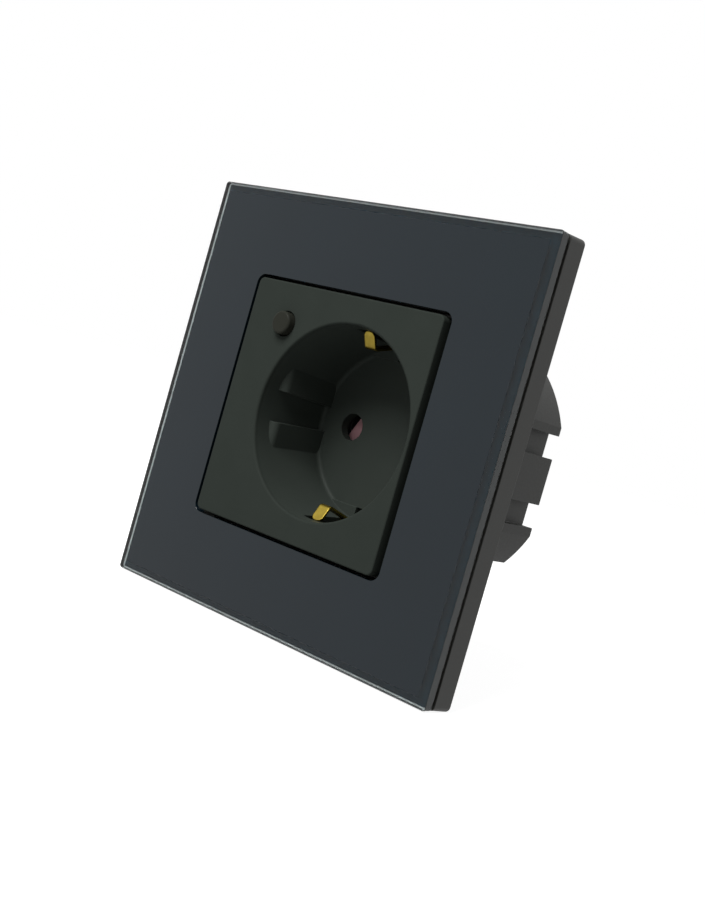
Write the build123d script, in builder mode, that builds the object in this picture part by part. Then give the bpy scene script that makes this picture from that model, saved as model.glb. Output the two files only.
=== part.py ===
from build123d import *
import math
import os

# Wall socket with a square glass panel, a round plug recess and a small push button.
# Millimetres. X is to the right, Z is up and the front faces -Y.
# The origin is the middle of the wall plane. A "height" is a distance in front of
# that plane, so y = -height, and everything behind the wall has a negative height.

# Glass panel and the moulded carrier that clips it to the strap
panel_side = 86.0
panel_corner = 0.6
glass_thickness = 2.0
glass_bevel = 0.45
window_side_gap = 1.3
window_end_gap = 0.75
window_corner = 2.0
window_bevel = 0.1
carrier_depth = 5.4
carrier_flare = 0.5
shadow_gap = 0.5
shadow_gap_depth = 0.9
carrier_corner = 1.2
carrier_wall = 2.0
carrier_web = 1.6
collar_wall = 1.4
lip_thickness = 1.0
lip_clearance = 0.15

# Socket cover, the insert that shows in the window
cover_width = 48.4
cover_height = 49.1
cover_corner = 1.2
cover_edge_round = 0.3
cover_proud = 0.7
cover_plate = 2.3
cover_skirt = 1.6

# Plug recess
well_offset = 4.2
well_depth = 18.4
well_mouth_radius = 19.2
well_floor_radius = 18.0
well_wall = 1.4
well_rim_round = 0.5
well_floor_round = 0.9
floor_thickness = 2.2
ledge_chord = 15.3
ledge_height = 0.4
rib_reach = 16.4
rib_width = 7.2
rib_gap = 5.2
rib_start = 4.0
rib_draft = 2.5
rib_lead_in = 1.6
pin_spacing = 19.0
pin_hole_radius = 2.8
pin_length = 19.0
core_slot_width = 4.3
core_slot_length = 2.3

# Earth clips, bent from one brass strip
clip_thickness = 0.5
clip_width = 2.6
clip_strip_width = 5.0
clip_hump_radius = 15.8
clip_hump_depth = 6.3
clip_tip_radius = 19.0
clip_tip_depth = 4.5
clip_foot_radius = 17.6
clip_foot_depth = 12.9
clip_bend = 0.8
clip_tip_round = 1.1
clip_slot_width = 5.4
clip_slot_front = 3.7
clip_slot_back = 16.7
riser_gap = 0.5

# Push button and the switch behind it
button_x = -13.8
button_z = 16.3
button_radius = 2.35
button_proud = 1.6
button_edge_round = 0.5
button_clearance = 0.25
button_flange = 0.9
button_flange_thickness = 0.9
button_stem_radius = 1.6
button_guide_wall = 1.1
button_guide_length = 2.6
button_travel = 0.6
switch_width = 6.6
switch_height = 4.8
switch_depth = 4.0
switch_setback = 3.0
plunger_radius = 1.4
plunger_proud = 1.0
plunger_length = 2.2
plunger_clearance = 0.1

# Shutter behind the pin holes
shutter_thickness = 2.4
shutter_blade_width = 6.8
shutter_reach = 13.4
shutter_tip = 11.6
shutter_slant = 55.0
shutter_hub_radius = 3.4
shutter_arm_width = 2.4
shutter_arm_reach = 8.4
shutter_ramp = 1.5
shutter_clearance = 0.3
pivot_radius = 1.4
pivot_clearance = 0.15
spring_height = 6.6
spring_span = 7.6
spring_thickness = 0.3
spring_width = 2.0
spring_leg = 2.6
spring_seat_width = 2.0

# Insulating base that carries the pin contacts
base_radius = 18.2
base_recess_radius = 14.2
base_web = 2.0
base_passage_radius = 3.2
chamber_width = 8.0
chamber_height = 9.0
chamber_wall = 1.2
stake_radius = 1.2
stake_circle = 16.2
stake_clearance = 0.1
stake_head = 0.8

# Pin contacts, terminals and links
contact_radius = 2.3
contact_thickness = 0.6
contact_slit = 1.4
contact_length = 11.0
contact_tail_width = 4.0
contact_tail_thickness = 0.8
contact_tail_setback = 0.6
tail_slot_clearance = 0.3
terminal_width = 6.4
terminal_height = 6.4
terminal_length = 9.0
terminal_wire_radius = 1.9
terminal_edge = 0.4
terminal_clearance = 0.3
terminal_wire_wall = 1.2
terminal_screw_radius = 1.6
terminal_screw_clearance = 0.1
terminal_head_radius = 2.5
terminal_head_height = 1.6
terminal_screw_length = 5.0
screw_slot_width = 0.7
screw_slot_depth = 0.7

# Steel mounting strap, with box screw slots
strap_side = 71.0
strap_corner = 4.0
strap_thickness = 1.2
strap_setback = 0.2
strap_opening_clearance = 0.5
box_screw_spacing = 60.0
box_slot_length = 6.0
box_slot_width = 4.0
lug_spacing = 36.0
lug_width = 8.0
lug_clearance = 0.2
grip_thickness = 1.2
grip_clearance = 0.1

# Rear housing that goes into the wall box
module_radius = 29.4
module_flat_cut = 2.4
module_depth = 37.0
module_wall = 1.6
module_rear_wall = 1.8
module_edge_round = 1.0
notch_depth = 2.5
notch_low_share = 1 / 6
notch_high_share = 1 / 3
chord_drop = 18.5
ledge_setback = 20.0
housing_screw_side = 11.4
housing_screw_upper_z = 20.3
housing_screw_lower_z = -21.2
housing_screw_radius = 1.4
housing_screw_clearance = 0.15
housing_head_radius = 2.3
housing_head_height = 1.8
housing_head_clearance = 0.5
housing_cross_radius = 1.6
housing_post_radius = 2.6
screw_bite = 3.4
boss_radius = 2.2
wire_entry_radius = 2.3
driver_clearance = 0.5

# Control board and what is soldered to it
board_thickness = 1.6
board_x = -18.2
board_clearance = 0.5
board_front_setback = 1.5
relay_size = (13.0, 15.0, 9.6)
relay_bottom = 6.5
transformer_size = (8.6, 8.0, 9.4)
transformer_core = 4.0
capacitor_radius = 3.1
capacitor_length = 9.4
radio_board = 0.8
radio_can = 1.6
radio_length = 22.0
radio_width = 15.0
radio_margin = 1.5
varistor_radius = 3.4
varistor_thickness = 2.8
part_edge = 0.4
part_spacing = 0.5

# Heights that several pieces share
glass_back = carrier_depth
glass_front = glass_back + glass_thickness
cover_face = glass_front + cover_proud
cover_plate_back = cover_face - cover_plate
strap_back = strap_setback
strap_front = strap_back + strap_thickness
well_floor = cover_face - well_depth
floor_back = well_floor - floor_thickness
recess_depth = shutter_thickness + 2 * shutter_clearance
recess_floor = floor_back - recess_depth
base_back = recess_floor - base_web
pin_tip = well_floor - pin_length
chamber_back = pin_tip - chamber_wall
module_rear = -module_depth
rear_wall_front = module_rear + module_rear_wall
ledge_height_back = -ledge_setback

# Places that several pieces share
window_width = cover_width + 2 * window_side_gap
window_height = cover_height + 2 * window_end_gap
carrier_side = panel_side + carrier_flare
carrier_draft = math.degrees(math.atan(carrier_flare / 2 / carrier_depth))
lip_width = cover_width + 2 * lip_clearance
lip_height = cover_height + 2 * lip_clearance
pin_xs = (well_offset - pin_spacing / 2, well_offset + pin_spacing / 2)
terminal_xs = (pin_xs[0], well_offset, pin_xs[1])
terminal_z = -chord_drop + module_wall + terminal_clearance + terminal_height / 2
terminal_top = terminal_z + terminal_height / 2
riser_z = well_mouth_radius + well_wall + riser_gap + clip_thickness / 2
module_flat = module_radius - module_flat_cut
notch_low = notch_low_share * module_radius
notch_high = notch_high_share * module_radius
board_top = math.sqrt((module_radius - module_wall) ** 2 - (board_x - board_thickness) ** 2)
board_top = board_top - board_clearance
board_bottom = -chord_drop + module_wall + board_clearance
housing_screws_at = [
    (well_offset + side * housing_screw_side, z)
    for side in (-1, 1)
    for z in (housing_screw_upper_z, housing_screw_lower_z)
]
stakes_at = [
    (well_offset + stake_circle * math.cos(turn), stake_circle * math.sin(turn))
    for turn in (math.radians(45 + 90 * quarter) for quarter in range(4))
]
well_axis = Axis((well_offset, 0, 0), (0, 1, 0))


def wall_plane(height):
    """A plane parallel to the wall: local x is X, local y is Z, and its normal faces the room."""
    return Plane.XZ.offset(height)


def finish(piece, name):
    """Label a finished piece and write it to its own file."""
    piece.part.label = name
    export_step(piece.part, f"parts/{name}.step")


def front_outline(inset):
    """Outline of the rear housing's front half, drawn in by inset: a circle with two flats."""
    with BuildSketch() as outline:
        Circle(module_radius - inset)
        Rectangle(2 * (module_flat - inset), 2 * module_radius, mode=Mode.INTERSECT)
    return outline.sketch


def rear_outline(inset):
    """Outline of its rear half: the same, with wire notches and with the bottom cut off."""
    with BuildSketch() as outline:
        add(front_outline(inset))
        notch_height = notch_high - notch_low + 2 * inset
        notch_middle = (notch_low + notch_high) / 2
        notch_floor = module_flat - notch_depth - inset
        notch_reach = module_radius - notch_floor
        with Locations(*[
            (side * (notch_floor + notch_reach / 2), level * notch_middle)
            for side in (-1, 1)
            for level in (-1, 1)
        ]):
            Rectangle(notch_reach, notch_height, mode=Mode.SUBTRACT)
        with Locations((0, (module_radius - chord_drop + inset) / 2)):
            Rectangle(2 * module_radius, module_radius + chord_drop - inset, mode=Mode.INTERSECT)
    return outline.sketch


os.makedirs("parts", exist_ok=True)

# Glass panel: square sheet with a polished bevel and a window for the insert
with BuildPart() as glass_panel:
    with BuildSketch(wall_plane(glass_back)):
        RectangleRounded(panel_side, panel_side, panel_corner)
        RectangleRounded(window_width, window_height, window_corner, mode=Mode.SUBTRACT)
    extrude(amount=glass_thickness)
    chamfer(glass_panel.faces().sort_by(Axis.Y)[0].outer_wire().edges(), glass_bevel)
    chamfer(glass_panel.faces().sort_by(Axis.Y)[0].inner_wires()[0].edges(), window_bevel)
finish(glass_panel, "glass_panel")

# Panel carrier: hollow-backed frame with a shadow gap under the glass, a collar round the window
# and grips for the strap's lugs
collar_foot = strap_front + lug_clearance / 2
web_back = glass_back - carrier_web
lug_z = strap_side / 2 - strap_thickness / 2
grip_step = strap_thickness / 2 + grip_clearance + grip_thickness / 2
with BuildPart() as panel_carrier:
    with BuildSketch(wall_plane(0)):
        RectangleRounded(carrier_side, carrier_side, carrier_corner)
    extrude(amount=carrier_depth, taper=carrier_draft)
    with BuildSketch(wall_plane(glass_back - shadow_gap_depth)):
        neck = panel_side - 2 * shadow_gap
        RectangleRounded(carrier_side, carrier_side, carrier_corner)
        RectangleRounded(neck, neck, carrier_corner, mode=Mode.SUBTRACT)
    extrude(amount=shadow_gap_depth, mode=Mode.SUBTRACT)
    with BuildSketch(wall_plane(0)):
        inside = carrier_side - 2 * carrier_wall
        RectangleRounded(inside, inside, carrier_corner / 2)
    extrude(amount=web_back, mode=Mode.SUBTRACT)
    with BuildSketch(wall_plane(collar_foot)):
        RectangleRounded(
            window_width + 2 * collar_wall,
            window_height + 2 * collar_wall,
            window_corner + collar_wall,
        )
    extrude(amount=glass_back - collar_foot)
    with BuildSketch(wall_plane(collar_foot)):
        RectangleRounded(lip_width, lip_height, cover_corner + lip_clearance)
    extrude(amount=glass_back - collar_foot, mode=Mode.SUBTRACT)
    with BuildSketch(wall_plane(collar_foot + lip_thickness)):
        RectangleRounded(window_width, window_height, window_corner)
    extrude(amount=glass_back - collar_foot, mode=Mode.SUBTRACT)
    with BuildSketch(wall_plane(web_back)):
        with Locations(*[
            (column * lug_spacing / 2, row * lug_z + step * grip_step)
            for column in (-1, 1)
            for row in (-1, 1)
            for step in (-1, 1)
        ]):
            Rectangle(lug_width, grip_thickness)
    extrude(amount=collar_foot - web_back)
finish(panel_carrier, "panel_carrier")

# Guide ribs of the plug recess: drafted blocks with a rounded lead-in
rib_depth = well_mouth_radius + well_wall - rib_reach
with BuildPart() as guide_ribs:
    with BuildSketch(wall_plane(well_floor)):
        with Locations((well_offset, 0)):
            with GridLocations(2 * rib_reach + rib_depth, rib_gap + rib_width, 2, 2):
                Rectangle(rib_depth, rib_width)
    extrude(amount=well_depth - rib_start, taper=rib_draft)
    top_edges = guide_ribs.edges().filter_by(Axis.Z).group_by(Axis.Y)[0]
    inner_edges = [
        edge for edge in top_edges
        if abs(edge.center().X - well_offset) < rib_reach + rib_depth / 2
    ]
    fillet(inner_edges, rib_lead_in)

# Form of the plug recess: a drafted bore, less the guide ribs and the floor ledges
with BuildPart() as well_form:
    with BuildSketch(Plane.XY) as well_profile:
        with BuildLine():
            floor_edge = (well_offset + well_floor_radius, -well_floor)
            mouth = (well_offset + well_mouth_radius, -cover_face)
            flare = well_offset + well_mouth_radius + 2 * well_rim_round
            Polyline(
                (well_offset, -well_floor),
                floor_edge,
                mouth,
                (flare, -cover_face),
                (flare, -cover_face - cover_plate),
                (well_offset, -cover_face - cover_plate),
                close=True,
            )
        make_face()
        fillet(well_profile.vertices().sort_by_distance((*mouth, 0))[0], well_rim_round)
        fillet(well_profile.vertices().sort_by_distance((*floor_edge, 0))[0], well_floor_round)
    revolve(axis=well_axis)
    add(guide_ribs.part, mode=Mode.SUBTRACT)
    with BuildSketch(wall_plane(well_floor)):
        ledge_reach = well_floor_radius + well_wall - ledge_chord
        with Locations(*[
            (well_offset, side * (ledge_chord + ledge_reach / 2))
            for side in (-1, 1)
        ]):
            Rectangle(2 * well_floor_radius, ledge_reach)
    extrude(amount=ledge_height, mode=Mode.SUBTRACT)

# Socket cover: face plate, skirt, recess tub, button guide and screw bosses in one moulding
guide_radius = button_radius + button_flange + button_clearance
with BuildPart() as socket_cover:
    with BuildSketch(wall_plane(strap_front)):
        RectangleRounded(cover_width, cover_height, cover_corner)
    extrude(amount=cover_face - strap_front)
    face_edges = socket_cover.faces().sort_by(Axis.Y)[0].edges()
    fillet(face_edges, cover_edge_round)
    with BuildSketch(wall_plane(strap_front)):
        RectangleRounded(cover_width - 2 * cover_skirt, cover_height - 2 * cover_skirt, cover_corner)
    extrude(amount=cover_plate_back - strap_front, mode=Mode.SUBTRACT)
    with BuildSketch(Plane.XY):
        with BuildLine():
            Polyline(
                (well_offset, -floor_back),
                (well_offset + well_floor_radius + well_wall, -floor_back),
                (well_offset + well_mouth_radius + well_wall, -cover_plate_back),
                (well_offset, -cover_plate_back),
                close=True,
            )
        make_face()
    revolve(axis=well_axis)
    with BuildSketch(wall_plane(cover_face)):
        RectangleRounded(cover_width, cover_height, cover_corner)
    extrude(amount=floor_back - cover_face, mode=Mode.INTERSECT)
    with BuildSketch(wall_plane(cover_plate_back)):
        with Locations(*housing_screws_at):
            Circle(boss_radius)
    extrude(amount=strap_front - cover_plate_back)
    with BuildSketch(wall_plane(strap_front)):
        with Locations(*housing_screws_at):
            Circle(housing_screw_radius + housing_screw_clearance)
    extrude(amount=screw_bite + housing_screw_clearance, mode=Mode.SUBTRACT)
    with BuildSketch(wall_plane(cover_plate_back)):
        with Locations((button_x, button_z)):
            Circle(guide_radius + button_guide_wall)
    extrude(amount=-button_guide_length)
    with BuildSketch(wall_plane(cover_plate_back)):
        with Locations((button_x, button_z)):
            Circle(guide_radius)
    extrude(amount=-button_guide_length, mode=Mode.SUBTRACT)
    with BuildSketch(wall_plane(cover_plate_back)):
        with Locations((button_x, button_z)):
            Circle(button_radius + button_clearance)
    extrude(amount=cover_plate, mode=Mode.SUBTRACT)
    with BuildSketch(wall_plane(floor_back)):
        with Locations(*stakes_at):
            Circle(stake_radius)
    extrude(amount=base_back - stake_head - floor_back)
    add(well_form.part, mode=Mode.SUBTRACT)
    with BuildSketch(wall_plane(well_floor)):
        with Locations(*[(x, 0) for x in pin_xs]):
            Circle(pin_hole_radius)
    extrude(amount=-floor_thickness, mode=Mode.SUBTRACT)
    with BuildSketch(wall_plane(cover_face - clip_slot_front)):
        slot_reach = riser_z + clip_thickness / 2 - ledge_chord
        with Locations(*[(well_offset, side * (ledge_chord + slot_reach / 2)) for side in (-1, 1)]):
            Rectangle(clip_slot_width, slot_reach)
    extrude(amount=clip_slot_front - clip_slot_back, mode=Mode.SUBTRACT)
    with BuildSketch(wall_plane(floor_back)):
        core_middle = ledge_chord + core_slot_length / 2
        with Locations(*[(well_offset, side * core_middle) for side in (-1, 1)]):
            Rectangle(core_slot_width, core_slot_length)
    extrude(amount=floor_thickness + ledge_height, mode=Mode.SUBTRACT)
finish(socket_cover, "socket_cover")

# Push button: round cap, retaining flange and stem in one moulding
flange_front = cover_plate_back
flange_back = flange_front - button_flange_thickness
stem_end = -switch_setback + plunger_proud
with BuildPart() as push_button:
    with BuildSketch(wall_plane(flange_back)):
        with Locations((button_x, button_z)):
            Circle(button_radius)
    extrude(amount=cover_face + button_proud - flange_back)
    fillet(push_button.faces().sort_by(Axis.Y)[0].edges(), button_edge_round)
    with BuildSketch(wall_plane(flange_back)):
        with Locations((button_x, button_z)):
            Circle(button_radius + button_flange)
    extrude(amount=button_flange_thickness)
    with BuildSketch(wall_plane(flange_back)):
        with Locations((button_x, button_z)):
            Circle(button_stem_radius)
    extrude(amount=stem_end - flange_back)
finish(push_button, "push_button")

# Switch that the button's stem presses, soldered to the board
plunger_room = plunger_length + button_travel + button_clearance
with BuildPart() as tact_switch:
    with BuildSketch(wall_plane(-switch_setback)):
        with Locations((board_x + switch_width / 2, button_z)):
            Rectangle(switch_width, switch_height)
    extrude(amount=-switch_depth)
    with BuildSketch(wall_plane(-switch_setback)):
        with Locations((button_x, button_z)):
            Circle(plunger_radius + plunger_clearance)
    extrude(amount=plunger_proud - plunger_room, mode=Mode.SUBTRACT)
finish(tact_switch, "tact_switch")

with BuildPart() as tact_plunger:
    with BuildSketch(wall_plane(stem_end)):
        with Locations((button_x, button_z)):
            Circle(plunger_radius)
    extrude(amount=-plunger_length)
finish(tact_plunger, "tact_plunger")

# Shutter: two blades on a hub, with a ramp under each pin hole and an arm for the spring
shutter_front = floor_back - shutter_clearance
with BuildPart() as shutter:
    with BuildSketch(wall_plane(shutter_front)):
        with Locations((well_offset, 0)):
            SlotOverall(2 * shutter_reach, shutter_blade_width)
            Circle(shutter_hub_radius)
            with Locations((0, shutter_arm_reach / 2)):
                Rectangle(shutter_arm_width, shutter_arm_reach)
            Circle(pivot_radius + pivot_clearance, mode=Mode.SUBTRACT)
            for side in (-1, 1):
                with Locations(Location((side * shutter_tip, 0), shutter_slant)):
                    with Locations((0, -side * shutter_reach / 2)):
                        Rectangle(2 * shutter_reach, shutter_reach, mode=Mode.SUBTRACT)
    extrude(amount=-shutter_thickness)
    ramp_start = shutter_hub_radius + shutter_clearance
    ramp_length = shutter_reach - ramp_start
    half_blade = shutter_blade_width / 2
    for side in (-1, 1):
        ramp_middle = well_offset + side * (ramp_start + ramp_length / 2)
        with BuildSketch(Plane.YZ.offset(ramp_middle)):
            with BuildLine():
                Polyline(
                    (-shutter_front, -side * half_blade),
                    (-shutter_front + shutter_ramp, side * half_blade),
                    (-shutter_front, side * half_blade),
                    close=True,
                )
            make_face()
        extrude(amount=ramp_length / 2, both=True, mode=Mode.SUBTRACT)
finish(shutter, "shutter")

# Return spring: a leaf bent over from the shutter's arm to a post of the base
spring_start = well_offset - shutter_arm_width / 2
spring_end = spring_start - spring_span
spring_middle = floor_back - recess_depth / 2
with BuildPart() as shutter_spring:
    with BuildSketch(wall_plane(spring_middle)):
        with BuildLine():
            foot = spring_height - spring_leg / 2
            bow = spring_height + spring_leg / 2
            arm_side = spring_start - spring_thickness / 2
            post_side = spring_end + spring_thickness / 2
            Line((arm_side, foot), (arm_side, bow))
            TangentArc((arm_side, bow), (post_side, bow), tangent=(0, 1))
            Line((post_side, bow), (post_side, foot))
        trace(line_width=spring_thickness)
    extrude(amount=spring_width / 2, both=True)
finish(shutter_spring, "shutter_spring")

# Contact base: disc with the shutter's recess and pivot in front and two pin chambers behind
spring_seat_x = spring_end - spring_seat_width / 2
with BuildPart() as contact_base:
    with BuildSketch(wall_plane(floor_back)):
        with Locations((well_offset, 0)):
            Circle(base_radius)
    extrude(amount=base_back - floor_back)
    with BuildSketch(wall_plane(floor_back)):
        with Locations((well_offset, 0)):
            Circle(base_recess_radius)
    extrude(amount=-recess_depth, mode=Mode.SUBTRACT)
    with BuildSketch(wall_plane(recess_floor)):
        with Locations((well_offset, 0)):
            Circle(pivot_radius)
        with Locations((spring_seat_x, spring_height)):
            Rectangle(spring_seat_width, shutter_arm_width)
    extrude(amount=recess_depth)
    with BuildSketch(wall_plane(base_back)):
        with Locations(*[(x, 0) for x in pin_xs]):
            Rectangle(chamber_width + 2 * chamber_wall, chamber_height + 2 * chamber_wall)
    extrude(amount=chamber_back - base_back)
    with BuildSketch(wall_plane(base_back)):
        with Locations(*[(x, 0) for x in pin_xs]):
            Rectangle(chamber_width, chamber_height)
    extrude(amount=chamber_back - base_back, mode=Mode.SUBTRACT)
    with BuildSketch(wall_plane(recess_floor)):
        with Locations(*[(x, 0) for x in pin_xs]):
            Circle(base_passage_radius)
    extrude(amount=-base_web, mode=Mode.SUBTRACT)
    with BuildSketch(wall_plane(floor_back)):
        with Locations(*stakes_at):
            Circle(stake_radius + stake_clearance)
    extrude(amount=base_back - floor_back, mode=Mode.SUBTRACT)
    tail_front = chamber_back + contact_tail_setback + contact_tail_thickness
    tail_slot = contact_tail_width + 2 * tail_slot_clearance
    with BuildSketch(wall_plane(chamber_back)):
        with Locations((pin_xs[0] - chamber_width / 2, 0)):
            Rectangle(4 * chamber_wall, tail_slot)
        with Locations((pin_xs[1], -chamber_height / 2)):
            Rectangle(tail_slot, 4 * chamber_wall)
    extrude(amount=tail_front + tail_slot_clearance - chamber_back, mode=Mode.SUBTRACT)
finish(contact_base, "contact_base")

# Pin contacts: split sleeves, each with a tail at its rear end
sleeve_back = tail_front
contact_names = ("live_contact", "neutral_contact")
for name, x, tail_turn in zip(contact_names, pin_xs, (180, -90)):
    tail_reach = x - board_x if name == "live_contact" else -terminal_top
    with BuildPart() as contact:
        with BuildSketch(wall_plane(sleeve_back)):
            with Locations(Location((x, 0), tail_turn)):
                Circle(contact_radius + contact_thickness)
                Circle(contact_radius, mode=Mode.SUBTRACT)
                with Locations((-contact_radius, 0)):
                    Rectangle(2 * contact_radius, contact_slit, mode=Mode.SUBTRACT)
        extrude(amount=contact_length)
        with BuildSketch(wall_plane(sleeve_back)):
            with Locations(Location((x, 0), tail_turn)):
                tail_length = tail_reach - contact_radius
                with Locations((contact_radius + tail_length / 2, 0)):
                    Rectangle(tail_length, contact_tail_width)
                Circle(contact_radius + contact_thickness)
                Circle(contact_radius, mode=Mode.SUBTRACT)
        extrude(amount=-contact_tail_thickness)
        if name == "neutral_contact":
            foot_back = rear_wall_front + terminal_edge
            with BuildSketch(wall_plane(sleeve_back)):
                with Locations((x, terminal_top + contact_tail_thickness / 2)):
                    Rectangle(contact_tail_width, contact_tail_thickness)
            extrude(amount=foot_back - sleeve_back)
    finish(contact, name)

# Earth bracket: a strip across the base, bent forward beside the recess into two sprung clips
strip_y = -base_back + clip_thickness / 2
clip_hump_y = -cover_face + clip_hump_depth
clip_tip_y = -cover_face + clip_tip_depth
clip_foot_y = -cover_face + clip_foot_depth
clip_turn_y = -cover_face + clip_slot_back - clip_bend
with BuildPart() as earth_bracket:
    for side in (-1, 1):
        with BuildSketch(Plane.YZ.offset(well_offset)):
            with BuildLine():
                FilletPolyline(
                    (strip_y, 0),
                    (strip_y, side * riser_z),
                    (clip_turn_y, side * riser_z),
                    radius=clip_bend,
                )
            trace(line_width=clip_thickness)
        extrude(amount=clip_strip_width / 2, both=True)
        with BuildSketch(Plane.YZ.offset(well_offset)):
            with BuildLine():
                FilletPolyline(
                    (clip_turn_y + 2 * clip_bend, side * riser_z),
                    (clip_turn_y - clip_bend, side * riser_z),
                    (clip_foot_y, side * clip_foot_radius),
                    (clip_hump_y, side * clip_hump_radius),
                    (clip_tip_y, side * clip_tip_radius),
                    radius=clip_bend,
                )
            trace(line_width=clip_thickness)
        extrude(amount=clip_width / 2, both=True)
        tip = (well_offset, clip_tip_y, side * clip_tip_radius)
        tip_edges = [
            edge for edge in earth_bracket.edges().sort_by_distance(tip)
            if abs(edge.length - clip_thickness) < clip_thickness / 10
        ]
        fillet(tip_edges[:2], clip_tip_round)
    with BuildSketch(wall_plane(base_back)):
        with Locations((well_offset, terminal_top + contact_tail_thickness / 2)):
            Rectangle(clip_strip_width, contact_tail_thickness)
    extrude(amount=rear_wall_front + terminal_edge - base_back)
finish(earth_bracket, "earth_bracket")

# Terminals: brass cages against the housing's rear wall, with a wire bore and a clamp screw each
terminal_names = ("live_terminal", "earth_terminal", "neutral_terminal")
wire_height = rear_wall_front + terminal_length - terminal_wire_radius - terminal_wire_wall
for name, x in zip(terminal_names, terminal_xs):
    with BuildPart() as terminal:
        with BuildSketch(wall_plane(rear_wall_front)):
            with Locations((x, terminal_z)):
                Rectangle(terminal_width, terminal_height)
        extrude(amount=terminal_length)
        chamfer(terminal.edges().filter_by(Axis.Y), terminal_edge)
        with BuildSketch(Plane.XY.offset(terminal_z - terminal_height / 2)):
            with Locations((x, -wire_height)):
                Circle(terminal_wire_radius)
        extrude(amount=terminal_height - contact_tail_thickness, mode=Mode.SUBTRACT)
        with BuildSketch(wall_plane(rear_wall_front)):
            with Locations((x, terminal_z)):
                Circle(terminal_screw_radius + terminal_screw_clearance)
        extrude(amount=wire_height - rear_wall_front, mode=Mode.SUBTRACT)
    finish(terminal, name)

head_seat = rear_wall_front
with BuildPart() as terminal_screws:
    for x in terminal_xs:
        with BuildSketch(wall_plane(head_seat)):
            with Locations((x, terminal_z)):
                Circle(terminal_head_radius)
        extrude(amount=-terminal_head_height)
        with BuildSketch(wall_plane(head_seat - terminal_head_height)):
            with Locations((x, terminal_z)):
                Rectangle(2 * terminal_head_radius, screw_slot_width)
        extrude(amount=screw_slot_depth, mode=Mode.SUBTRACT)
        with BuildSketch(wall_plane(head_seat)):
            with Locations((x, terminal_z)):
                Circle(terminal_screw_radius)
        extrude(amount=terminal_screw_length)
finish(terminal_screws, "terminal_screws")

# Link from the live terminal to the board
link_back = rear_wall_front + terminal_edge
link_right = pin_xs[0] + terminal_width / 2
with BuildPart() as live_link:
    with BuildSketch(wall_plane(link_back)):
        with Locations(((board_x + link_right) / 2, terminal_top + contact_tail_thickness / 2)):
            Rectangle(link_right - board_x, contact_tail_thickness)
    extrude(amount=contact_tail_width)
finish(live_link, "live_link")

# Mounting strap: steel plate with the recess opening, box screw slots and bent lugs
lug_top = web_back - lug_clearance
opening_radius = well_mouth_radius + well_wall + strap_opening_clearance
opening_notch = riser_z + clip_thickness / 2 + strap_opening_clearance
with BuildPart() as mounting_strap:
    with BuildSketch(wall_plane(strap_back)):
        RectangleRounded(strap_side, strap_side, strap_corner)
        with Locations((well_offset, 0)):
            Circle(opening_radius, mode=Mode.SUBTRACT)
            Rectangle(
                clip_strip_width + 2 * strap_opening_clearance,
                2 * opening_notch,
                mode=Mode.SUBTRACT,
            )
        with Locations((button_x, button_z)):
            Circle(button_stem_radius + strap_opening_clearance, mode=Mode.SUBTRACT)
        with Locations(*housing_screws_at):
            Circle(housing_screw_radius + housing_screw_clearance, mode=Mode.SUBTRACT)
        with GridLocations(box_screw_spacing, 0, 2, 1):
            SlotOverall(box_slot_length, box_slot_width, mode=Mode.SUBTRACT)
    extrude(amount=strap_thickness)
    with BuildSketch(wall_plane(strap_front)):
        with GridLocations(lug_spacing, 2 * lug_z, 2, 2):
            Rectangle(lug_width, strap_thickness)
    extrude(amount=lug_top - strap_front)
finish(mounting_strap, "mounting_strap")

# Rear housing: round box with two flats, wire notches, a lower ledge and screw posts
well_outer = housing_head_radius + housing_head_clearance + module_wall / 2
upper_screws = [place for place in housing_screws_at if place[1] > 0]
with BuildPart() as rear_housing:
    with BuildSketch(wall_plane(strap_back)):
        add(front_outline(0))
    extrude(amount=ledge_height_back - strap_back)
    with BuildSketch(wall_plane(ledge_height_back)):
        add(rear_outline(0))
    extrude(amount=module_rear - ledge_height_back)
    rear_edges = rear_housing.faces().sort_by(Axis.Y)[-1].edges()
    fillet(rear_edges, module_edge_round)
    with BuildSketch(wall_plane(strap_back)):
        add(front_outline(module_wall))
    extrude(amount=ledge_height_back + module_wall - strap_back, mode=Mode.SUBTRACT)
    with BuildSketch(wall_plane(strap_back)):
        add(rear_outline(module_wall))
    extrude(amount=rear_wall_front - strap_back, mode=Mode.SUBTRACT)
    with BuildSketch(wall_plane(strap_back)):
        with Locations(*housing_screws_at):
            Circle(housing_post_radius)
    extrude(amount=ledge_height_back - strap_back)
    with BuildSketch(wall_plane(ledge_height_back + module_wall)):
        with Locations(*upper_screws):
            Circle(well_outer)
        add(front_outline(0), mode=Mode.INTERSECT)
    extrude(amount=rear_wall_front - ledge_height_back - module_wall)
    with BuildSketch(wall_plane(ledge_height_back)):
        with Locations(*upper_screws):
            Circle(housing_head_radius + housing_head_clearance)
    extrude(amount=module_rear - ledge_height_back, mode=Mode.SUBTRACT)
    with BuildSketch(wall_plane(strap_back)):
        with Locations(*housing_screws_at):
            Circle(housing_screw_radius + housing_screw_clearance)
    extrude(amount=ledge_height_back - strap_back, mode=Mode.SUBTRACT)
    with BuildSketch(wall_plane(module_rear)):
        with Locations(*[(x, terminal_z) for x in terminal_xs]):
            Circle(terminal_head_radius + driver_clearance)
    extrude(amount=module_rear_wall, mode=Mode.SUBTRACT)
    with BuildSketch(Plane.XY.offset(-chord_drop)):
        with Locations(*[(x, -wire_height) for x in terminal_xs]):
            Circle(wire_entry_radius)
    extrude(amount=module_wall, mode=Mode.SUBTRACT)
finish(rear_housing, "rear_housing")

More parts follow.
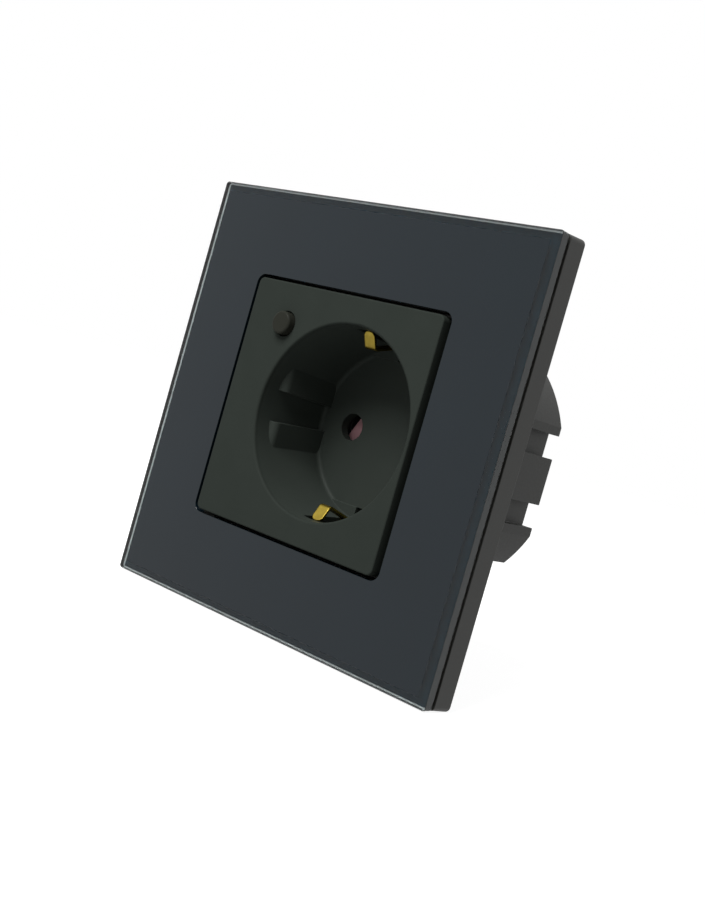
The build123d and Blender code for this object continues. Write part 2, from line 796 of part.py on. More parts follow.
# Screws that clamp the strap between the rear housing and the cover
with BuildPart() as housing_screws:
    for place in housing_screws_at:
        with BuildSketch(wall_plane(ledge_height_back)):
            with Locations(place):
                Circle(housing_head_radius)
        extrude(amount=-housing_head_height)
        with BuildSketch(wall_plane(ledge_height_back - housing_head_height)):
            with Locations(place):
                Rectangle(2 * housing_head_radius, screw_slot_width)
                Rectangle(screw_slot_width, 2 * housing_head_radius)
                Circle(housing_cross_radius, mode=Mode.INTERSECT)
        extrude(amount=screw_slot_depth, mode=Mode.SUBTRACT)
        with BuildSketch(wall_plane(ledge_height_back)):
            with Locations(place):
                Circle(housing_screw_radius)
        extrude(amount=strap_front + screw_bite - ledge_height_back)
finish(housing_screws, "housing_screws")

# Control board, standing beside the recess with its rear edge on the housing
with BuildPart() as control_board:
    with BuildSketch(Plane.YZ.offset(board_x - board_thickness)):
        with BuildLine():
            Polyline(
                (board_front_setback, board_bottom),
                (-rear_wall_front, board_bottom),
                (-rear_wall_front, board_top),
                (board_front_setback, board_top),
                close=True,
            )
        make_face()
    extrude(amount=board_thickness)
finish(control_board, "control_board")

# Relay that switches the live contact
parts_front = -base_back + stake_head + part_spacing
with BuildPart() as relay:
    with BuildSketch(Plane.YZ.offset(board_x)):
        with Locations((parts_front + relay_size[1] / 2, relay_bottom + relay_size[2] / 2)):
            Rectangle(relay_size[1], relay_size[2])
    extrude(amount=relay_size[0])
    chamfer(relay.faces().sort_by(Axis.X)[-1].edges(), part_edge)
finish(relay, "relay")

# Supply transformer: a core block with a wound bobbin between its legs
transformer_z = board_bottom + part_spacing + transformer_size[2] / 2
transformer_y = parts_front + transformer_size[1] / 2
with BuildPart() as transformer:
    with BuildSketch(Plane.YZ.offset(board_x)):
        with Locations((transformer_y, transformer_z)):
            Rectangle(transformer_size[1], transformer_size[2])
    extrude(amount=transformer_size[0])
    with BuildSketch(Plane.YZ.offset(board_x + transformer_core / 2)):
        with Locations(*[
            (transformer_y + side * transformer_size[1] / 2, transformer_z)
            for side in (-1, 1)
        ]):
            Rectangle(transformer_core / 2, transformer_size[2] - transformer_core)
    extrude(amount=transformer_size[0] - transformer_core, mode=Mode.SUBTRACT)
finish(transformer, "transformer")

# Reservoir capacitor, lying on the board behind the varistor
capacitor_y = parts_front + varistor_thickness + part_spacing + capacitor_radius
with BuildPart() as capacitor:
    with BuildSketch(Plane.XY.offset(-capacitor_length / 2)):
        with Locations((board_x + capacitor_radius, capacitor_y)):
            Circle(capacitor_radius)
    extrude(amount=capacitor_length)
    chamfer(capacitor.edges().filter_by(GeomType.CIRCLE), part_edge)
finish(capacitor, "capacitor")

# Surge varistor, a disc standing on the board
with BuildPart() as varistor:
    with BuildSketch(Plane.XZ.offset(-parts_front)):
        with Locations((board_x + varistor_radius, 0)):
            Circle(varistor_radius)
    extrude(amount=-varistor_thickness)
    chamfer(varistor.edges().filter_by(GeomType.CIRCLE), part_edge)
finish(varistor, "varistor")

# Radio module, a small board with a shielding can, on the control board's outer side
radio_x = board_x - board_thickness
radio_y = board_front_setback + radio_margin + radio_length / 2
with BuildPart() as radio_module:
    with BuildSketch(Plane.YZ.offset(radio_x)):
        with Locations((radio_y, 0)):
            Rectangle(radio_length, radio_width)
    extrude(amount=-radio_board)
    with BuildSketch(Plane.YZ.offset(radio_x - radio_board)):
        with Locations((radio_y + radio_margin, 0)):
            Rectangle(radio_length - 4 * radio_margin, radio_width - 2 * radio_margin)
    extrude(amount=-radio_can)
finish(radio_module, "radio_module")
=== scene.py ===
import bpy
import bmesh
import math
from mathutils import Matrix, Vector


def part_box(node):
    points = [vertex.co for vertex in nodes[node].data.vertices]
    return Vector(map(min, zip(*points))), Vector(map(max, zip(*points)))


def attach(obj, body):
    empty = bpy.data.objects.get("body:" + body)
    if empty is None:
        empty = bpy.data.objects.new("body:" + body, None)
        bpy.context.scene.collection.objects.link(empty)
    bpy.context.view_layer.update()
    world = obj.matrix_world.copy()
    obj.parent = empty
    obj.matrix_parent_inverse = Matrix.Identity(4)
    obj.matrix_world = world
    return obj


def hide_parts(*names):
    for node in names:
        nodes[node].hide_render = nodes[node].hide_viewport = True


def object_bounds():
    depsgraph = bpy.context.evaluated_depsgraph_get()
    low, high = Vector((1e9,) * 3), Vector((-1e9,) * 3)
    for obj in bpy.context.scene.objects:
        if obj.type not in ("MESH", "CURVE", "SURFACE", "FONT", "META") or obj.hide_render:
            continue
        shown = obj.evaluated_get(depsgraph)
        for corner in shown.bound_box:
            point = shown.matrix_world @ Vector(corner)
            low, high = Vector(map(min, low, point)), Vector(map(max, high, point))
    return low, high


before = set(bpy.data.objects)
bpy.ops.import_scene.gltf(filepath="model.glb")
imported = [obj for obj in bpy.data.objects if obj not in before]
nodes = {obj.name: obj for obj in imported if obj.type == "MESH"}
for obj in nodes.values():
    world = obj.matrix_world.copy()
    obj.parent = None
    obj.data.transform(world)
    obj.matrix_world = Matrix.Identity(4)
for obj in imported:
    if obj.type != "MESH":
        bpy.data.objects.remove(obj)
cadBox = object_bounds()
mm = 0.001
print("frame loaded:", len(nodes), "nodes")


def fromHex(code):
    # sRGB hex to the linear colour that sockets take
    parts = [int(code[i:i + 2], 16) / 255 for i in (1, 3, 5)]
    return [p / 12.92 if p <= 0.04045 else ((p + 0.055) / 1.055) ** 2.4 for p in parts] + [1.0]


def addNode(tree, kind, settings=None, links=None):
    # one node with its settings, and what feeds its sockets
    node = tree.nodes.new(kind)
    for key, value in (settings or {}).items():
        if isinstance(key, int) or key in node.inputs:
            node.inputs[key].default_value = value
        else:
            setattr(node, key, value)
    for key, source in (links or {}).items():
        tree.links.new(source, node.inputs[key])
    return node


def addNoise(tree, place, sizeMm, settings):
    # noise whose cells are that many millimetres wide
    noise = addNode(tree, "ShaderNodeTexNoise", {"Scale": 1 / (sizeMm * mm), **settings}, {"Vector": place})
    return noise.outputs["Fac"]


def addBlend(tree, first, second, factor):
    # two hex colours mixed by a factor; 6 and 7 are the mix node's colour sockets, 2 its colour result
    settings = {"data_type": "RGBA", 6: fromHex(first), 7: fromHex(second)}
    return addNode(tree, "ShaderNodeMix", settings, {0: factor}).outputs[2]


def addRange(tree, value, ends, within=(0.0, 1.0)):
    # a value carried from one range to another
    settings = {"From Min": within[0], "From Max": within[1], "To Min": ends[0], "To Max": ends[1]}
    return addNode(tree, "ShaderNodeMapRange", settings, {"Value": value}).outputs["Result"]


def newMaterial(name):
    material = bpy.data.materials.new(name)
    material.use_nodes = True
    material.node_tree.nodes.clear()
    return material, material.node_tree


def ownPlace(tree):
    # where a point lies on the piece itself
    return addNode(tree, "ShaderNodeTexCoord").outputs["Object"]


def addSurface(tree, settings, links):
    # the shader, joined to the output
    shader = addNode(tree, "ShaderNodeBsdfPrincipled", settings, links)
    addNode(tree, "ShaderNodeOutputMaterial", None, {"Surface": shader.outputs["BSDF"]})


# how edges are rounded in shading, and how far the normal turns between flat and fully rubbed
edges = {"samples": 6, "turn": (0.99, 0.75)}


def addSkin(tree, look, height):
    # gloss and relief from one fine texture, over rounded edges
    rounded = addNode(tree, "ShaderNodeBevel", {"samples": edges["samples"], "Radius": look["edgeMm"] * mm})
    gloss = addRange(tree, height, (look["roughness"] - look["spread"], look["roughness"] + look["spread"]))
    bump = addNode(tree, "ShaderNodeBump", {"Strength": look["bump"], "Distance": look["depthMm"] * mm},
                   {"Height": height, "Normal": rounded.outputs["Normal"]})
    return rounded.outputs["Normal"], {"Roughness": gloss, "Normal": bump.outputs["Normal"]}


def mouldedPlastic(look):
    # soft mottle in the colour, spark-eroded grain from the tool, edges rubbed a little paler
    material, tree = newMaterial(look["name"])
    place = ownPlace(tree)
    mottle = addNoise(tree, place, look["mottleMm"], {"Detail": 3.0})
    grain = addNoise(tree, place, look["grainMm"], {"Detail": 4.0, "Roughness": 0.6})
    rounded, skin = addSkin(tree, look, grain)
    surface = addNode(tree, "ShaderNodeNewGeometry")
    facing = addNode(tree, "ShaderNodeVectorMath", {"operation": "DOT_PRODUCT"},
                     {0: rounded, 1: surface.outputs["Normal"]})
    rubbed = addRange(tree, facing.outputs["Value"], (0.0, look["rub"]), edges["turn"])
    body = addBlend(tree, look["deep"], look["colour"], mottle)
    tone = addNode(tree, "ShaderNodeMix", {"data_type": "RGBA", 7: fromHex(look["edge"])},
                   {0: rubbed, 6: body})
    addSurface(tree, {"IOR": look["ior"], "Specular IOR Level": look["specular"]},
               {"Base Color": tone.outputs[2], **skin})
    return material


def workedMetal(look):
    # fine marks drawn out along the way it was worked, over a cloudy tarnish
    material, tree = newMaterial(look["name"])
    place = ownPlace(tree)
    drawn = addNode(tree, "ShaderNodeMapping", {"Scale": look["stretch"]}, {"Vector": place})
    marks = addNoise(tree, drawn.outputs["Vector"], look["markMm"], {"Detail": 5.0, "Roughness": 0.65})
    tarnish = addNoise(tree, place, look["tarnishMm"], {"Detail": 3.0})
    skin = addSkin(tree, look, marks)[1]
    addSurface(tree, {"Metallic": 1.0},
               {"Base Color": addBlend(tree, look["dull"], look["colour"], tarnish), **skin})
    return material


def dullCoat(look):
    # a flat coat, one tone drifting into the other
    material, tree = newMaterial(look["name"])
    place = ownPlace(tree)
    drift = addNoise(tree, place, look["driftMm"], {"Detail": look["detail"]})
    addSurface(tree, {"Roughness": look["roughness"], "Specular IOR Level": look["specular"]},
               {"Base Color": addBlend(tree, look["deep"], look["colour"], drift)})
    return material


def finishNode(name, material):
    piece = nodes[name]
    piece.data.materials.clear()
    piece.data.materials.append(material)
    piece.data.shade_smooth()  # each CAD face has its own points, so its borders stay sharp


# back-painted glass panel, in the place of the CAD sheet: painted middle, clear border with paint behind,
# the ground seam round the back that the paint stops short of, and a mist of paint on the sides
panel = {
    "outerCorner": 0.6 * mm,
    "innerCorner": 0.2 * mm,
    "arris": 0.3 * mm,
    "border": 1.95 * mm,
    "windowHalf": (25.5 * mm, 25.3 * mm),
    "windowCorner": 2.0 * mm,
    "windowArris": 0.04 * mm,
    "slant": 1.0 * mm,
    "slantNormal": (0.1, 0.6),
    "overlap": 0.2 * mm,
    "paintInset": (0.62 * mm, 0.46 * mm),
    "seamInset": 0.14 * mm,
    "coatInset": 0.03 * mm,
    "paintDepth": 0.1 * mm,
    "paintCover": 0.03 * mm,
    "cornerSteps": 8,
}
low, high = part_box("glass_panel")
panelHalf, frontY, backY = high.x, low.y, high.y


def roundedBox(halfX, halfZ, corner, y):
    # points of a rectangle with round corners, anticlockwise from the right, at that depth
    points = []
    steps = panel["cornerSteps"]
    for quarter, (sx, sz) in enumerate(((1, 1), (-1, 1), (-1, -1), (1, -1))):
        for step in range(steps + 1):
            turn = math.radians(90 * quarter + 90 * step / steps)
            points.append((sx * (halfX - corner) + corner * math.cos(turn), y,
                           sz * (halfZ - corner) + corner * math.sin(turn)))
    return points


def panelFrame(name, loops):
    # a closed frame whose section is the chain of loops
    shape = bmesh.new()
    rings = [[shape.verts.new(point) for point in roundedBox(*loop)] for loop in loops]
    for ring, following in zip(rings, rings[1:] + rings[:1]):
        for i in range(len(ring)):
            j = (i + 1) % len(ring)
            shape.faces.new((ring[i], ring[j], following[j], following[i]))
    bmesh.ops.recalc_face_normals(shape, faces=shape.faces[:])
    mesh = bpy.data.meshes.new(name)
    shape.to_mesh(mesh)
    shape.free()
    piece = bpy.data.objects.new(name, mesh)
    bpy.context.scene.collection.objects.link(piece)
    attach(piece, "socket")
    return piece


def flatFrame(name, outer, inner, front, back):
    # the same with a plain rectangular section between two outlines
    return panelFrame(name, [(*outer, front), (*outer, back), (*inner, back), (*inner, front)])


outerCorner, innerCorner = panel["outerCorner"], panel["innerCorner"]
faceHalf = panelHalf - panel["border"]
backHalf = faceHalf - panel["slant"]
innerHalf = backHalf - panel["overlap"]  # the border's inner wall stays hidden in the painted middle
tuckHalf = faceHalf - panel["overlap"]  # parts the two walls at once, or they flicker where they meet
wallX, wallZ = panel["windowHalf"]
wallCorner = panel["windowCorner"]
ease = panel["windowArris"]
glassFace = panelFrame("glass_face", [
    (faceHalf, faceHalf, innerCorner, frontY),
    (wallX + ease, wallZ + ease, wallCorner + ease, frontY),
    (wallX, wallZ, wallCorner, frontY + ease),
    (wallX, wallZ, wallCorner, backY),
    (backHalf, backHalf, innerCorner, backY),
])
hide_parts("glass_panel")

arrisHalf = panelHalf - panel["arris"]
arrisBack = frontY + panel["arris"]
glassRim = panelFrame("glass_rim", [
    (faceHalf, faceHalf, innerCorner, frontY),
    (arrisHalf, arrisHalf, outerCorner - panel["arris"], frontY),
    (panelHalf, panelHalf, outerCorner, arrisBack),
    (panelHalf, panelHalf, outerCorner, backY),
    (innerHalf, innerHalf, innerCorner, backY),
    (tuckHalf, tuckHalf, innerCorner, frontY + panel["overlap"]),
])

paintBack = backY - panel["paintCover"]
paintFront = paintBack - panel["paintDepth"]
seamHalf = panelHalf - panel["seamInset"]
coatHalf = panelHalf - panel["coatInset"]
paintEdge = (*(panelHalf - inset for inset in panel["paintInset"]), innerCorner)
seamEdge = (seamHalf, seamHalf, outerCorner)
coatEdge = (coatHalf, coatHalf, outerCorner)
glassPaint = flatFrame("glass_paint", paintEdge, (innerHalf, innerHalf, innerCorner), paintFront, paintBack)
glassSeam = flatFrame("glass_seam", seamEdge, paintEdge, paintFront, paintBack)
glassCoat = flatFrame("glass_edge_coat", coatEdge, seamEdge, arrisBack, paintBack)

# float glass, painted slate behind: a hard, slightly blue-grey reflection of the room over a dark ground
slateGlass = {"colour": "#0f1d25", "deep": "#0d1920", "mottleMm": 18.0, "wipeMm": 14.0,
              "wiped": (0.45, 0.75), "roughness": (0.008, 0.03), "ior": 1.4}
faceMaterial, tree = newMaterial("floatGlassPaintedSlate")
place = ownPlace(tree)
mottle = addNoise(tree, place, slateGlass["mottleMm"], {"Detail": 3.0})
wipes = addNoise(tree, place, slateGlass["wipeMm"], {"Detail": 4.0, "Distortion": 0.6})
addSurface(tree, {"IOR": slateGlass["ior"]},
           {"Base Color": addBlend(tree, slateGlass["deep"], slateGlass["colour"], mottle),
            "Roughness": addRange(tree, wipes, slateGlass["roughness"], slateGlass["wiped"])})
glassFace.data.materials.append(faceMaterial)

# the same glass where it is bare, ground and polished: clear, bright where it catches the white room
clearRim = {"tint": "#eef6f6", "ior": 1.4, "roughness": (0.0, 0.03), "grindMm": 0.6}
rimMaterial, tree = newMaterial("floatGlassPolishedEdge")
grind = addNoise(tree, ownPlace(tree), clearRim["grindMm"], {"Detail": 2.0})
addSurface(tree,
           {"Base Color": fromHex(clearRim["tint"]), "IOR": clearRim["ior"], "Transmission Weight": 1.0},
           {"Roughness": addRange(tree, grind, clearRim["roughness"])})
glassRim.data.materials.append(rimMaterial)

# screen-printed paint, seen through the clear border: slate, dead flat, painted lighter than the face's slate
# as painted light, for the light the glass keeps from it
paintLightenedUnderGlass = dullCoat({
    "name": "screenPrintedSlatePaintLightened",
    "colour": "#182f3a", "deep": "#162b35", "driftMm": 18.0, "detail": 3.0, "roughness": 0.6, "specular": 0.0,
})
glassPaint.data.materials.append(paintLightenedUnderGlass)
glassFace.data.materials.append(paintLightenedUnderGlass)
least, most = panel["slantNormal"]
for face in glassFace.data.polygons:  # the slant under the clear border gets the same paint, lightened as painted light
    face.material_index = 1 if least < abs(face.normal.y) < most else 0

# seam ground on a belt: frosted, so it draws a pale line round the panel
groundSeam = dullCoat({
    "name": "floatGlassGroundSeam",
    "colour": "#f4f7f7", "deep": "#e4e9e9", "driftMm": 0.5, "detail": 3.0, "roughness": 0.7, "specular": 0.0,
})
glassSeam.data.materials.append(groundSeam)

# paint mist on the sides: a dull dark slate, so the side shows one even grey under the room's reflection
edgeCoat = dullCoat({
    "name": "sprayedSlateOverspray",
    "colour": "#1e2526", "deep": "#161c1d", "driftMm": 1.5, "detail": 2.0, "roughness": 0.7, "specular": 0.1,
})
glassCoat.data.materials.append(edgeCoat)
print("glass and its paint done")

# polycarbonate, moulded against a fine spark-eroded tool: an even satin, faintly green dark grey;
# the real grit, 0.05 mm, is too fine to show
coverPlastic = mouldedPlastic({
    "name": "mouldedPolycarbonateSatin",
    "colour": "#363b37", "deep": "#323733", "edge": "#434943",
    "mottleMm": 6.0, "grainMm": 0.35, "depthMm": 0.02, "bump": 0.25,
    "edgeMm": 0.2, "rub": 0.2, "roughness": 0.42, "spread": 0.06, "ior": 1.5, "specular": 0.01,
})
finishNode("socket_cover", coverPlastic)

# its recess down to the floor, polished in the tool: a little more sheen; its base colour is painted up to
# 1.2 times lighter, painted light standing in for the light the recess gets
well = {"axis": (4.2 * mm, 0.0, 0.0), "across": (1.0, 0.0, 1.0), "radius": 19.5 * mm,
        "mouth": (-7.9 * mm, -6.9 * mm), "floor": 10.4 * mm, "sheen": (0.01, 0.05), "paintedLight": (1.0, 1.2)}
tree = coverPlastic.node_tree
shader = next(node for node in tree.nodes if node.type == "BSDF_PRINCIPLED")
plain = shader.inputs["Base Color"].links[0].from_socket
place = ownPlace(tree)
fromAxis = addNode(tree, "ShaderNodeVectorMath", {"operation": "SUBTRACT", 1: well["axis"]}, {0: place})
across = addNode(tree, "ShaderNodeVectorMath", {"operation": "MULTIPLY", 1: well["across"]},
                 {0: fromAxis.outputs["Vector"]})
reach = addNode(tree, "ShaderNodeVectorMath", {"operation": "LENGTH"}, {0: across.outputs["Vector"]})
depth = addNode(tree, "ShaderNodeSeparateXYZ", None, {0: place}).outputs["Y"]
within = addNode(tree, "ShaderNodeMath", {"operation": "LESS_THAN", 1: well["radius"]},
                 {0: reach.outputs["Value"]})
above = addNode(tree, "ShaderNodeMath", {"operation": "LESS_THAN", 1: well["floor"]}, {0: depth})
between = addNode(tree, "ShaderNodeMath", {"operation": "MULTIPLY"},
                  {0: addRange(tree, depth, (0.0, 1.0), well["mouth"]), 1: above.outputs["Value"]})
recessSheenAndPaintedLight = addNode(tree, "ShaderNodeMath", {"operation": "MULTIPLY"},
                   {0: within.outputs["Value"], 1: between.outputs["Value"]}).outputs["Value"]
# painted light: inside the recess the base colour is scaled up to 1.2 times lighter
recessPaintedLight = addNode(tree, "ShaderNodeVectorMath", {"operation": "SCALE"},
                  {0: plain, "Scale": addRange(tree, recessSheenAndPaintedLight, well["paintedLight"])})
tree.links.new(addRange(tree, recessSheenAndPaintedLight, well["sheen"]), shader.inputs["Specular IOR Level"])
tree.links.new(recessPaintedLight.outputs["Vector"], shader.inputs["Base Color"])

# the button, from the same plastic in another tool: the same satin, a shade warmer
buttonPlastic = mouldedPlastic({
    "name": "mouldedPolycarbonateButton",
    "colour": "#2f302a", "deep": "#2b2c27", "edge": "#464740",
    "mottleMm": 3.0, "grainMm": 0.35, "depthMm": 0.02, "bump": 0.2,
    "edgeMm": 0.2, "rub": 0.3, "roughness": 0.36, "spread": 0.05, "ior": 1.5, "specular": 0.04,
})
finishNode("push_button", buttonPlastic)

# ABS frame behind the glass: a coarser satin, neutral grey
carrierPlastic = mouldedPlastic({
    "name": "mouldedAbsSatin",
    "colour": "#1f201c", "deep": "#1b1c18", "edge": "#343531",
    "mottleMm": 8.0, "grainMm": 0.4, "depthMm": 0.03, "bump": 0.3,
    "edgeMm": 0.2, "rub": 0.3, "roughness": 0.48, "spread": 0.07, "ior": 1.5, "specular": 0.45,
})
finishNode("panel_carrier", carrierPlastic)

# glass-filled nylon box: dull, with a drier and slightly streaky skin
housingPlastic = mouldedPlastic({
    "name": "mouldedFilledNylon",
    "colour": "#20211e", "deep": "#1b1c19", "edge": "#343531",
    "mottleMm": 3.0, "grainMm": 0.5, "depthMm": 0.04, "bump": 0.4,
    "edgeMm": 0.25, "rub": 0.3, "roughness": 0.58, "spread": 0.08, "ior": 1.53, "specular": 0.45,
})
finishNode("rear_housing", housingPlastic)

# acetal shutter: smooth, a little waxy, old rose
shutterPlastic = mouldedPlastic({
    "name": "mouldedAcetalRose",
    "colour": "#c3959a", "deep": "#b5898e", "edge": "#d0a8ac",
    "mottleMm": 4.0, "grainMm": 0.3, "depthMm": 0.01, "bump": 0.15,
    "edgeMm": 0.15, "rub": 0.4, "roughness": 0.35, "spread": 0.05, "ior": 1.48, "specular": 0.4,
})
finishNode("shutter", shutterPlastic)

# phenolic base for the contacts: near black, hard and dense
basePlastic = mouldedPlastic({
    "name": "mouldedPhenolicBlack",
    "colour": "#1d1c1b", "deep": "#171615", "edge": "#33312f",
    "mottleMm": 5.0, "grainMm": 0.3, "depthMm": 0.01, "bump": 0.15,
    "edgeMm": 0.2, "rub": 0.4, "roughness": 0.4, "spread": 0.05, "ior": 1.6, "specular": 0.4,
})
finishNode("contact_base", basePlastic)

# black nylon of the small switch: dry, with a fine even grain
switchPlastic = mouldedPlastic({
    "name": "mouldedBlackNylon",
    "colour": "#1c1c1d", "deep": "#161617", "edge": "#343435",
    "mottleMm": 2.0, "grainMm": 0.2, "depthMm": 0.02, "bump": 0.3,
    "edgeMm": 0.1, "rub": 0.5, "roughness": 0.5, "spread": 0.06, "ior": 1.53, "specular": 0.5,
})
for name in ("tact_switch", "tact_plunger"):
    finishNode(name, switchPlastic)

# polyester case of the relay: plain blue, semi-gloss
relayPlastic = mouldedPlastic({
    "name": "mouldedBluePolyester",
    "colour": "#1d3f7a", "deep": "#19376b", "edge": "#3d5c92",
    "mottleMm": 3.0, "grainMm": 0.3, "depthMm": 0.01, "bump": 0.2,
    "edgeMm": 0.2, "rub": 0.4, "roughness": 0.32, "spread": 0.05, "ior": 1.55, "specular": 0.5,
})
finishNode("relay", relayPlastic)

# sintered ferrite: almost black, dry, with a gritty skin
ferrite = mouldedPlastic({
    "name": "sinteredFerrite",
    "colour": "#2d2b29", "deep": "#211f1e", "edge": "#4a4744",
    "mottleMm": 1.2, "grainMm": 0.25, "depthMm": 0.05, "bump": 0.6,
    "edgeMm": 0.15, "rub": 0.7, "roughness": 0.7, "spread": 0.1, "ior": 1.6, "specular": 0.4,
})
finishNode("transformer", ferrite)

# shrunk vinyl sleeve of the capacitor: smooth and glossy, near black
sleeve = mouldedPlastic({
    "name": "shrunkVinylSleeve",
    "colour": "#16171d", "deep": "#101116", "edge": "#2c2d34",
    "mottleMm": 3.0, "grainMm": 0.8, "depthMm": 0.01, "bump": 0.2,
    "edgeMm": 0.2, "rub": 0.3, "roughness": 0.22, "spread": 0.04, "ior": 1.52, "specular": 0.5,
})
finishNode("capacitor", sleeve)

# dipped epoxy of the varistor: thick, glossy, slightly wavy blue
lacquer = mouldedPlastic({
    "name": "dippedEpoxyBlue",
    "colour": "#24509a", "deep": "#1d4485", "edge": "#4068aa",
    "mottleMm": 1.5, "grainMm": 1.0, "depthMm": 0.04, "bump": 0.4,
    "edgeMm": 0.3, "rub": 0.2, "roughness": 0.18, "spread": 0.04, "ior": 1.55, "specular": 0.5,
})
finishNode("varistor", lacquer)

# glass-epoxy laminate under green solder mask: weave just shows through a glossy skin
laminate = mouldedPlastic({
    "name": "solderMaskedLaminate",
    "colour": "#1c5a34", "deep": "#174d2c", "edge": "#b4a673",
    "mottleMm": 0.6, "grainMm": 0.5, "depthMm": 0.02, "bump": 0.3,
    "edgeMm": 0.1, "rub": 0.5, "roughness": 0.28, "spread": 0.05, "ior": 1.52, "specular": 0.5,
})
finishNode("control_board", laminate)
print("plastics done")

# rolled brass, stamped and bent: warm yellow, drawn marks along the strip; its dark tarnish tone is deep,
# partly real tarnish and partly painted shade for the dark recess the clips reflect
stampedBrass = workedMetal({
    "name": "stampedRolledBrass",
    "colour": "#b8a246", "dull": "#5f4f1a",
    "markMm": 0.25, "stretch": (1.0, 0.15, 0.15), "tarnishMm": 2.2,
    "depthMm": 0.01, "bump": 0.25, "edgeMm": 0.3, "roughness": 0.4, "spread": 0.1,
})
for name in ("earth_bracket", "live_contact", "neutral_contact", "live_link"):
    finishNode(name, stampedBrass)

# machined brass cages: crosswise cutter marks, a shade paler
machinedBrass = workedMetal({
    "name": "machinedBrass",
    "colour": "#e3c372", "dull": "#cda95a",
    "markMm": 0.2, "stretch": (0.2, 1.0, 1.0), "tarnishMm": 4.0,
    "depthMm": 0.02, "bump": 0.3, "edgeMm": 0.12, "roughness": 0.3, "spread": 0.1,
})
for name in ("live_terminal", "earth_terminal", "neutral_terminal"):
    finishNode(name, machinedBrass)

# zinc-plated sheet steel: cool grey, cloudy spangle, dull rolling marks
platedSteel = workedMetal({
    "name": "zincPlatedSheetSteel",
    "colour": "#c9ccce", "dull": "#a9adb2",
    "markMm": 0.35, "stretch": (0.2, 1.0, 1.0), "tarnishMm": 2.5,
    "depthMm": 0.01, "bump": 0.25, "edgeMm": 0.15, "roughness": 0.36, "spread": 0.1,
})
for name in ("mounting_strap", "housing_screws", "terminal_screws"):
    finishNode(name, platedSteel)

# spring steel strip: bright, bluish, finely drawn
springSteel = workedMetal({
    "name": "rolledSpringSteel",
    "colour": "#c3c6ca", "dull": "#9da2a9",
    "markMm": 0.15, "stretch": (0.2, 1.0, 0.2), "tarnishMm": 2.0,
    "depthMm": 0.01, "bump": 0.2, "edgeMm": 0.05, "roughness": 0.25, "spread": 0.06,
})
finishNode("shutter_spring", springSteel)

# tinned shielding can: soft white metal, smeared solder sheen
tinnedCan = workedMetal({
    "name": "tinnedSheetSteel",
    "colour": "#d4d5d3", "dull": "#b3b5b4",
    "markMm": 0.5, "stretch": (1.0, 1.0, 0.4), "tarnishMm": 1.8,
    "depthMm": 0.01, "bump": 0.2, "edgeMm": 0.15, "roughness": 0.3, "spread": 0.1,
})
finishNode("radio_module", tinnedCan)
print("metals done")

# white room: white where the camera, gloss and glass look, a plain soft level as light
room = {
    "light": 0.13,
    "seen": 1.0,
    "white": "#ffffff",
}
world = bpy.data.worlds.new("whiteRoom")
bpy.context.scene.world = world
world.use_nodes = True
tree = world.node_tree
tree.nodes.clear()
path = addNode(tree, "ShaderNodeLightPath")
seen = addNode(tree, "ShaderNodeMath", {"operation": "MAXIMUM"},
               {0: path.outputs["Is Camera Ray"], 1: path.outputs["Is Glossy Ray"]})
seen = addNode(tree, "ShaderNodeMath", {"operation": "MAXIMUM"},
               {0: seen.outputs["Value"], 1: path.outputs["Is Transmission Ray"]})
lightSky, whiteSky = (addNode(tree, "ShaderNodeBackground",
                              {"Color": fromHex(room["white"]), "Strength": room[level]}).outputs[0]
                      for level in ("light", "seen"))
sky = addNode(tree, "ShaderNodeMixShader", None, {0: seen.outputs["Value"], 1: lightSky, 2: whiteSky})
addNode(tree, "ShaderNodeOutputWorld", None, {"Surface": sky.outputs[0]})

# pale floor that reads white, with the object's own soft shadow left on it
floor = {
    "half": 4.0,
    "pale": "#c4c4c4",
    "glow": 0.93,
    "under": 0.05 * mm,
}
groundZ = cadBox[0][2] - floor["under"]
half = floor["half"]
corners = [(-half, -half, groundZ), (half, -half, groundZ), (half, half, groundZ), (-half, half, groundZ)]
groundMesh = bpy.data.meshes.new("floor")
groundMesh.from_pydata(corners, [], [(0, 1, 2, 3)])
ground = bpy.data.objects.new("floor", groundMesh)
bpy.context.scene.collection.objects.link(ground)
paleFloor, tree = newMaterial("paleStudioPaper")
path = addNode(tree, "ShaderNodeLightPath")
mirrored = addNode(tree, "ShaderNodeMath", {"operation": "MAXIMUM"},
                   {0: path.outputs["Is Glossy Ray"], 1: path.outputs["Is Transmission Ray"]})
paper = addNode(tree, "ShaderNodeBsdfDiffuse", {"Color": fromHex(floor["pale"])}).outputs[0]
glow, white = (addNode(tree, "ShaderNodeEmission",
                       {"Color": fromHex(room["white"]), "Strength": level}).outputs[0]
               for level in (floor["glow"], room["seen"]))
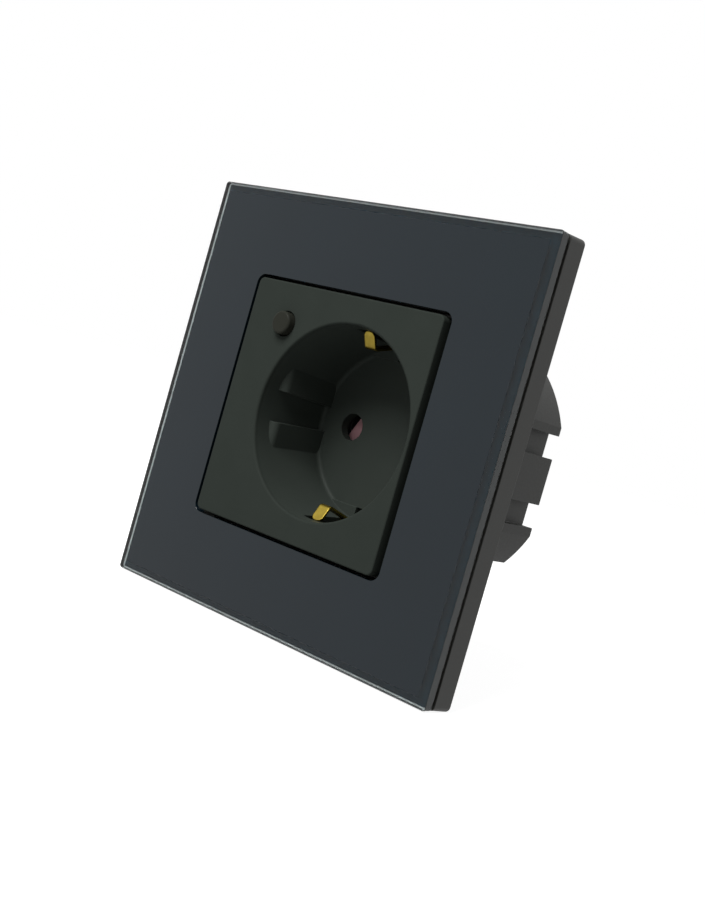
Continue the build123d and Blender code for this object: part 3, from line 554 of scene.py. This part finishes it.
lit = addNode(tree, "ShaderNodeAddShader", None, {0: paper, 1: glow}).outputs[0]
direct = addNode(tree, "ShaderNodeMixShader", None, {0: path.outputs["Is Camera Ray"], 1: paper, 2: lit})
mixed = addNode(tree, "ShaderNodeMixShader", None,
                {0: mirrored.outputs["Value"], 1: direct.outputs[0], 2: white})
addNode(tree, "ShaderNodeOutputMaterial", None, {"Surface": mixed.outputs[0]})
groundMesh.materials.append(paleFloor)

# a soft box above and in front
softBox = {"from": (0.0, -0.68, 0.73), "away": 0.9, "size": 0.45, "power": 8.2}
light = bpy.data.lights.new("key", "AREA")
light.size = softBox["size"]
light.energy = softBox["power"]
holder = bpy.data.objects.new("key", light)
toLamp = Vector(softBox["from"]).normalized()
holder.location = (Vector(cadBox[0]) + Vector(cadBox[1])) / 2 + softBox["away"] * toLamp
holder.rotation_euler = toLamp.to_track_quat("Z", "Y").to_euler()
holder.visible_transmission = False  # seen through the clear border it would only leave specks
bpy.context.scene.collection.objects.link(holder)
print("room and lamp done")

# camera at the photograph's angle: right of the front, level, and rolled
camera = {
    "place": Vector((162.98, -187.87, 4.96)) * mm,
    "aim": Vector((11.08, -7.0, -3.66)) * mm,
    "rollDegrees": 15.98,
    "lens": 50.40,
    "sensor": 36.0,
    "sees": (0.01, 50.0),
}
eye = bpy.data.cameras.new("camera")
eye.sensor_fit = "VERTICAL"
eye.sensor_height = camera["sensor"]
eye.lens = camera["lens"]
eye.clip_start, eye.clip_end = camera["sees"]
viewer = bpy.data.objects.new("camera", eye)
ahead = (camera["aim"] - camera["place"]).normalized()
level = ahead.cross(Vector((0, 0, 1))).normalized()
right = Matrix.Rotation(math.radians(-camera["rollDegrees"]), 3, ahead) @ level
up = right.cross(ahead)
pose = Matrix((right, up, -ahead)).transposed().to_4x4()
pose.translation = camera["place"]
viewer.matrix_world = pose
bpy.context.scene.collection.objects.link(viewer)
bpy.context.scene.camera = viewer
bpy.context.scene.view_settings.view_transform = "Standard"
print("camera done, right", [round(c, 3) for c in right])
